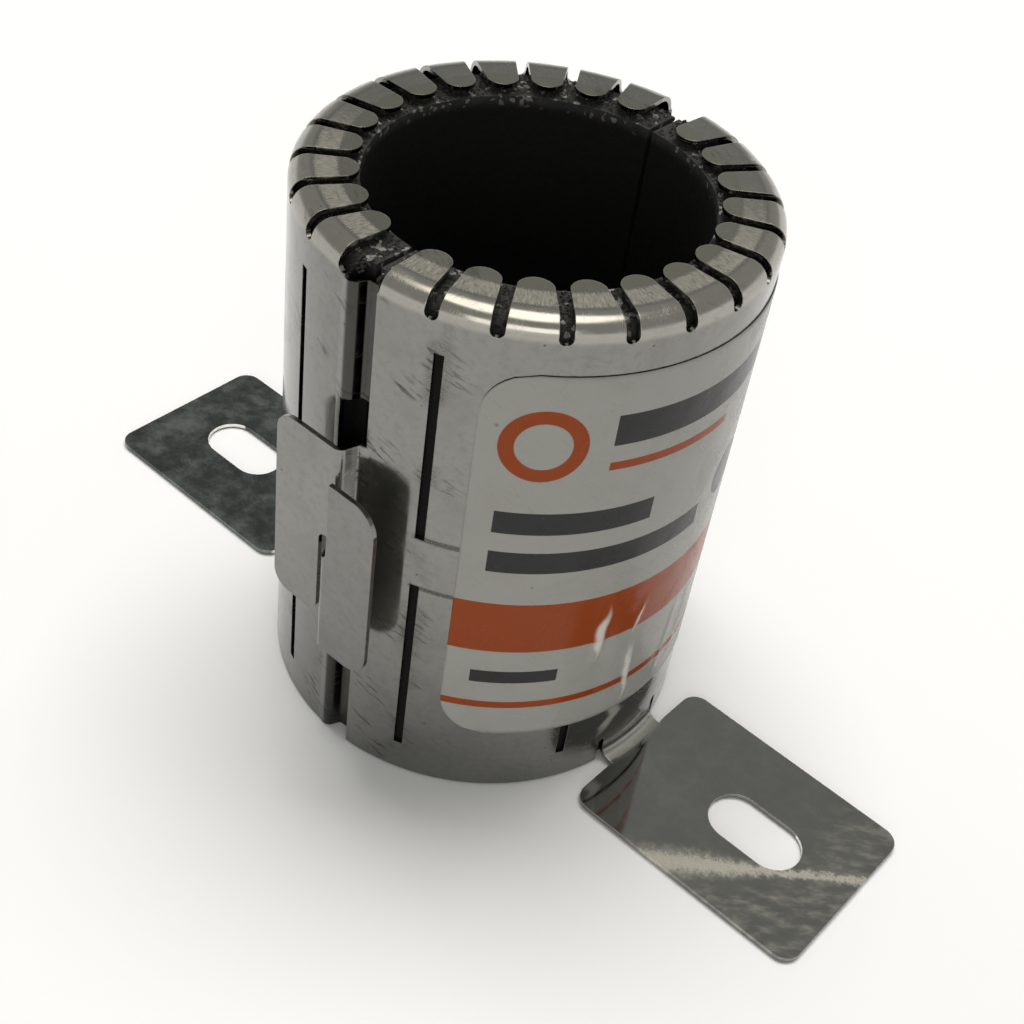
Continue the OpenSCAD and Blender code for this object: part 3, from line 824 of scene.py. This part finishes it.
# %% Graphite material
TORN_FROM = (liner_top - 1.5 * MM, liner_top - 0.2 * MM)
MAT_DEEP = (0.004, 0.004, 0.004, 1)
MAT_WHOLE = (0.010, 0.010, 0.009, 1)
MAT_TORN = (0.085, 0.085, 0.08, 1)
FLAKE_GREY = (0.26, 0.26, 0.245, 1)
FLAKE_CELLS = (2200.0, "Green", 0.88, 0.93)
FLAKE_ROUGH = (-0.45, 0.85)           # what a flake takes off, and the mat
MAT_NOISE = (1400.0, 4.0, 0.7)
MAT_RELIEF = {"Distance": 0.3 * MM, "Strength": 0.9}


def graphite(name):
    """Black crumbly mat with small bright flakes."""
    material, tree, shader = new_material(name)
    spot = object_place(tree)
    grains = noise(tree, spot, *MAT_NOISE)
    picked = some_cells(tree, spot, *FLAKE_CELLS)[1]
    height = add(tree, "ShaderNodeSeparateXYZ", Vector=spot).outputs["Z"]
    torn = ramp(tree, height, *TORN_FROM)
    flakes = times(tree, picked, torn)
    tone = blend(tree, grains, MAT_DEEP, blend(tree, torn, MAT_WHOLE, MAT_TORN))
    fill(tree, shader.inputs["Base Color"], blend(tree, flakes, tone, FLAKE_GREY))
    fill(tree, shader.inputs["Roughness"], scaled(tree, flakes, *FLAKE_ROUGH))
    shader.inputs["Specular IOR Level"].default_value = 0.2
    bump = add(tree, "ShaderNodeBump", Height=grains, **MAT_RELIEF)
    fill(tree, shader.inputs["Normal"], bump.outputs[0])
    return material


mat_graphite = graphite("graphite_mat")
for name in ("front_liner_strip", "rear_liner_strip"):
    nodes[name].data.materials[0] = mat_graphite
print(mat_graphite.name, len(mat_graphite.node_tree.nodes), "nodes")

# %% [markdown]
# ## Crumbs on the liner's top
# Between the fingers the torn top of the mat shows as loose crumbs. They could be placed
# one by one or left to relief in the material, but crumbs break the outline against the
# dark bore. A Geometry Nodes tree scatters small faceted chips over a strip of faces that
# lies on the liner, with a fixed seed. The result is made a plain mesh, because the export
# drops instances.

# %% Crumb tree
CHIP_SPIN = (6.28, 6.28, 6.28)
CHIP_LEAST = (0.35, 0.35, 0.25)
CHIP_MOST = (1.3, 1.0, 0.6)


def crumb_tree():
    """Builds the tree that scatters chips over a mesh."""
    inputs = [
        ("Geometry", "Geometry"), ("Density", "Float"), ("Chip Size", "Float"),
        ("Seed", "Int"), ("Finish", "Material"),
    ]
    tree, given, out = new_group("crumbs", inputs, [("Geometry", "Geometry")], "GeometryNodeTree")
    chip = add(tree, "GeometryNodeMeshIcoSphere", Radius=given["Chip Size"], Subdivisions=1)
    points = add(
        tree, "GeometryNodeDistributePointsOnFaces",
        Mesh=given["Geometry"], Density=given["Density"], Seed=given["Seed"],
    )
    settings = {"data_type": "FLOAT_VECTOR"}
    spin = add(tree, "FunctionNodeRandomValue", settings, Seed=given["Seed"])
    spin.inputs[1].default_value = CHIP_SPIN
    size = add(tree, "FunctionNodeRandomValue", settings, Seed=given["Seed"])
    size.inputs[0].default_value = CHIP_LEAST
    size.inputs[1].default_value = CHIP_MOST
    placed = add(
        tree, "GeometryNodeInstanceOnPoints",
        Points=points.outputs["Points"], Instance=chip.outputs["Mesh"],
        Rotation=spin.outputs[0], Scale=size.outputs[0],
    )
    real = add(tree, "GeometryNodeRealizeInstances", Geometry=placed.outputs[0])
    finish = {"Geometry": real.outputs[0], "Material": given["Finish"]}
    fill(tree, out["Geometry"], add(tree, "GeometryNodeSetMaterial", **finish).outputs[0])
    return tree


crumbs = crumb_tree()
print("crumb inputs:", [item.name for item in crumbs.interface.items_tree])

# %% Bed for the crumbs
BED_STEPS = 60
BED_START, BED_SWEEP = 2, 176     # degrees from one end of the strip
BED_RINGS = [
    # radius and height, over the flat top and down the chamfer
    (17.5 * MM, liner_top),
    (liner_r - 1.55 * MM, liner_top),
    (liner_r - 0.3 * MM, liner_top - 1.25 * MM),
]


def liner_top_strip(name, start_deg):
    """A curved strip of faces on one liner's top and chamfer."""
    verts, faces, wide = [], [], len(BED_RINGS)
    for i in range(BED_STEPS + 1):
        a = math.radians(start_deg + BED_START + BED_SWEEP * i / BED_STEPS)
        verts += [(r * math.cos(a), r * math.sin(a), z) for r, z in BED_RINGS]
    for i in range(BED_STEPS):
        for k in range(wide - 1):
            a, b = wide * i + k, wide * (i + 1) + k
            faces.append((a, a + 1, b + 1, b))
    mesh = bpy.data.meshes.new(name)
    mesh.from_pydata(verts, [], faces)
    return link(bpy.data.objects.new(name, mesh))


print("bed of", BED_STEPS * (len(BED_RINGS) - 1), "faces on each strip")

# %% Crumbs on both strips
CRUMB_DENSITY = 6.5e6             # for each square metre
CHIP_SIZE = 0.00027


def scatter(name, start_deg, seed):
    """Scatters crumbs on a strip and keeps them as a plain mesh."""
    source = liner_top_strip(name + "_bed", start_deg)
    modifier = source.modifiers.new("crumbs", "NODES")
    modifier.node_group = crumbs
    values = {
        "Density": CRUMB_DENSITY, "Chip Size": CHIP_SIZE, "Seed": seed, "Finish": mat_graphite,
    }
    for item in crumbs.interface.items_tree:
        if item.in_out == "INPUT" and item.name in values:
            modifier[item.identifier] = values[item.name]
    ready = source.evaluated_get(bpy.context.evaluated_depsgraph_get())
    mesh = bpy.data.meshes.new_from_object(ready)
    bpy.data.objects.remove(source)
    piece = link(bpy.data.objects.new(name, mesh))
    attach(piece, "root")
    print(name, len(mesh.polygons), "faces")


scatter("front_liner_crumbs", -90, 3)
scatter("rear_liner_crumbs", 90, 8)

# %% [markdown]
# ## Label film
# The label is thin printed film, stuck round the wall. Where the wall is drawn out towards
# the tab it has lifted into upright wrinkles. Cloth simulation could make them, but not
# where the photograph has them. So the film is a fine grid of faces bent round the wall,
# with each wrinkle added to its radius.

# %% Wrinkles
WRINKLES = [
    # centre and width in degrees, rise in mm, lean in degrees per mm, from and to in mm of height
    (-22.6, 1.3, 0.28, 0.24, 15.0, 30.0),
    (-8.1, 1.0, 0.26, -0.19, 8.4, 22.0),
    (-11.7, 0.7, 0.16, 0.62, 20.0, 27.0),
    (3.0, 1.1, 0.16, 0.35, 8.4, 24.0),
    (9.0, 1.3, 0.13, 0.45, 8.4, 24.0),
]


def wrinkle(angle_deg, z_mm):
    """Lift of the film from the wall, in metres."""
    lift = 0.0
    for centre, width, rise, slant, low, high in WRINKLES:
        part = min(1.0, max(0.0, (z_mm - low) / (high - low)))
        lean = centre + slant * (z_mm - low)
        lift += rise * math.sin(math.pi * part) ** 2 * math.exp(-((angle_deg - lean) / width) ** 2)
    return lift * MM


print("wrinkles:", len(WRINKLES))

# %% Label mesh
LABEL_CORNER = 5 * MM
FILM_THICK = 0.09 * MM
COLUMNS, ROWS = 200, 90
label_span = math.atan2(label_high.y, label_low.x) * WALL_R
label_mid = (label_low.z + label_high.z) / 2
label_tall = (label_high.z - label_low.z) / 2


def label_grid():
    """Grid points over a rectangle with round corners, as angle and height."""
    for j in range(ROWS + 1):
        v = label_tall * (2 * j / ROWS - 1)
        past = max(0.0, abs(v) - (label_tall - LABEL_CORNER))
        half = label_span - LABEL_CORNER + math.sqrt(max(0.0, LABEL_CORNER ** 2 - past ** 2))
        for i in range(COLUMNS + 1):
            yield half * (2 * i / COLUMNS - 1) / WALL_R, label_mid + v


def grid_edge():
    """Numbers of the grid points round the edge, in order."""
    wide = COLUMNS + 1
    bottom = list(range(wide))
    right = [j * wide + COLUMNS for j in range(1, ROWS + 1)]
    top = [ROWS * wide + i for i in range(COLUMNS - 1, -1, -1)]
    left = [j * wide for j in range(ROWS - 1, 0, -1)]
    return bottom + right + top + left


def label_film():
    """Closed thin film with wrinkles, bent round the wall."""
    film = bmesh.new()
    layers = []
    for inset in (0.0, FILM_THICK):
        layer = []
        for a, z in label_grid():
            r = label_r - inset + wrinkle(math.degrees(a), z / MM)
            layer.append(film.verts.new((r * math.cos(a), r * math.sin(a), z)))
        layers.append(layer)
    outer, inner = layers
    wide = COLUMNS + 1
    for j in range(ROWS):
        for k in range(j * wide, j * wide + COLUMNS):
            film.faces.new([outer[n] for n in (k, k + 1, k + wide + 1, k + wide)])
            film.faces.new([inner[n] for n in (k, k + wide, k + wide + 1, k + 1)])
    edge = grid_edge()
    for a, b in zip(edge, edge[1:] + edge[:1]):
        film.faces.new([outer[b], outer[a], inner[a], inner[b]])
    bmesh.ops.recalc_face_normals(film, faces=film.faces)
    mesh = bpy.data.meshes.new("label_film")
    film.to_mesh(mesh)
    film.free()
    mesh.shade_smooth()
    return link(bpy.data.objects.new("label_film", mesh))


label_piece = label_film()
print("label film", len(label_piece.data.polygons), "faces")

# %% [markdown]
# ## Label print
# The print is plain: a broad orange band, an orange ring and a few dark bars on a greyish
# white ground. A picture could be wrapped round the film, but no image is used here, so
# each shape is a mask worked out from millimetres round the wall and up it. That also
# keeps it sharp at any distance.

# %% Print shapes
PRINT_EDGE = 0.03
SPOT_EDGE = 0.05


def bar(tree, at, left, right, low, high):
    """Mask of a bar with slightly soft edges."""
    sides = ((at["Around"], left, right), (at["Height"], low, high))
    return times(tree, *(
        band(tree, value, (start + end) / 2, (end - start) / 2 - PRINT_EDGE, 2 * PRINT_EDGE)
        for value, start, end in sides
    ))


def disc(tree, at, x, z, r):
    """Mask of a round spot."""
    dx, dz = minus(tree, at["Around"], x), minus(tree, at["Height"], z)
    away = calc(tree, "SQRT", total(tree, times(tree, dx, dx), times(tree, dz, dz)))
    return fall(tree, away, r - SPOT_EDGE, r + SPOT_EDGE)


print("print shapes ready")

# %% Label design
ORANGE_BARS = [
    # left, right, low and high, in mm round from the tab and up
    (-40, 40, 22.0, 29.0),
    (-40, 40, 13.2, 14.2),
    (-12.0, 3.0, 46.4, 47.4),
]
DARK_BARS = [
    (-12.0, 12.0, 49.4, 53.0),
    (-22.2, -6.0, 38.6, 41.4),
    (-22.2, 2.0, 33.4, 36.2),
    (-22.2, -13.0, 17.2, 19.0),
]
RING_AT, RING_OUTER, RING_INNER = (-18.6, 49.6), 4.2, 2.7
DARK_SPOT = (7.5, 37.4, 3.1)
# The shine on the wrinkles is a painted highlight.
FOLD_SHINES = [
    # start, slope, low, high and half width of the shine on a wrinkle, in mm
    (-9.2, 0.10, 18.0, 28.0, 0.75),
    (-3.5, -0.078, 8.6, 21.0, 0.55),
    (-4.7, 0.26, 20.5, 26.0, 0.30),
]


def fold_shine(tree, at, start, slope, low, high, half):
    """Mask of the shine along one wrinkle."""
    sizes = {"Start": start, "Slope": slope, "Low": low, "High": high, "Half_Width": half}
    return use(tree, streak, Around=at["Around"], Height=at["Height"], **sizes)["Mask"]


def label_design(tree, at):
    """Masks of the orange fields, the dark fields and the shine on the wrinkles."""
    ring = minus(tree, disc(tree, at, *RING_AT, RING_OUTER), disc(tree, at, *RING_AT, RING_INNER))
    orange = most(tree, ring, 0.0, *(bar(tree, at, *sides) for sides in ORANGE_BARS))
    dark_bars = [bar(tree, at, *sides) for sides in DARK_BARS]
    dark = most(tree, disc(tree, at, *DARK_SPOT), *dark_bars)
    shine = most(tree, *(fold_shine(tree, at, *sizes) for sizes in FOLD_SHINES))
    return orange, dark, shine


print("label design:", len(ORANGE_BARS) + len(DARK_BARS), "bars, one ring and one spot")

# %% Label material
FILM_WHITE = (0.45, 0.448, 0.43, 1)
FILM_SMUDGED = (0.40, 0.396, 0.376, 1)
ORANGE_DEEP = (0.34, 0.054, 0.003, 1)
ORANGE_LIGHT = (0.39, 0.066, 0.005, 1)
DARK_INK = (0.028, 0.028, 0.030, 1)
SHINE_WHITE = (0.95, 0.945, 0.90, 1)
FILM_SOIL = (0.06, 0.058, 0.052, 1)
FILM_MARKS = {"Size": 0.2, "Speck_Size": 0.35}
FILM_HAIRS = {"Angle": 0.7, "Fineness": 0.7}
FILM_ROUGH = (0.12, 0.24)             # what smudges add, and the bare film
RIPPLE_NOISE = (0.35, 3.0)
RIPPLE_RELIEF = {"Distance": 0.2 * MM, "Strength": 0.35}
SHINE_SHARE, HAIR_SHARE, FILM_SPECK_SHARE = 0.8, 0.12, 0.7


def label_print(name):
    """Printed film: white ground, orange and dark fields, light soiling."""
    material, tree, shader = new_material(name)
    at = use(tree, sheet_places, Position=object_place(tree))
    sheet = at["Sheet"]
    marks = use(tree, smudges, Sheet=sheet, **FILM_MARKS)
    hairs = use(tree, scratches, Sheet=sheet, **FILM_HAIRS)["Mask"]
    orange, dark, shine = label_design(tree, at)
    white = blend(tree, times(tree, marks["Smudge"], SMUDGE_SHARE), FILM_WHITE, FILM_SMUDGED)
    specks = times(tree, marks["Speck"], FILM_SPECK_SHARE)
    fill(tree, shader.inputs["Base Color"], coats(tree, white, [
        (orange, blend(tree, marks["Grain"], ORANGE_DEEP, ORANGE_LIGHT)),
        (dark, DARK_INK),
        # Painted highlight along the wrinkles.
        (times(tree, shine, SHINE_SHARE), SHINE_WHITE),
        (most(tree, times(tree, hairs, HAIR_SHARE), specks), FILM_SOIL),
    ]))
    fill(tree, shader.inputs["Roughness"], scaled(tree, marks["Smudge"], *FILM_ROUGH))
    shader.inputs["Specular IOR Level"].default_value = 0.22
    ripples = noise(tree, sheet, *RIPPLE_NOISE)
    bump = add(tree, "ShaderNodeBump", Height=ripples, **RIPPLE_RELIEF)
    fill(tree, shader.inputs["Normal"], bump.outputs[0])
    return material


label_piece.data.materials.append(label_print("label_print"))
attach(label_piece, "root")
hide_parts("label")
print("label print on", label_piece.name)
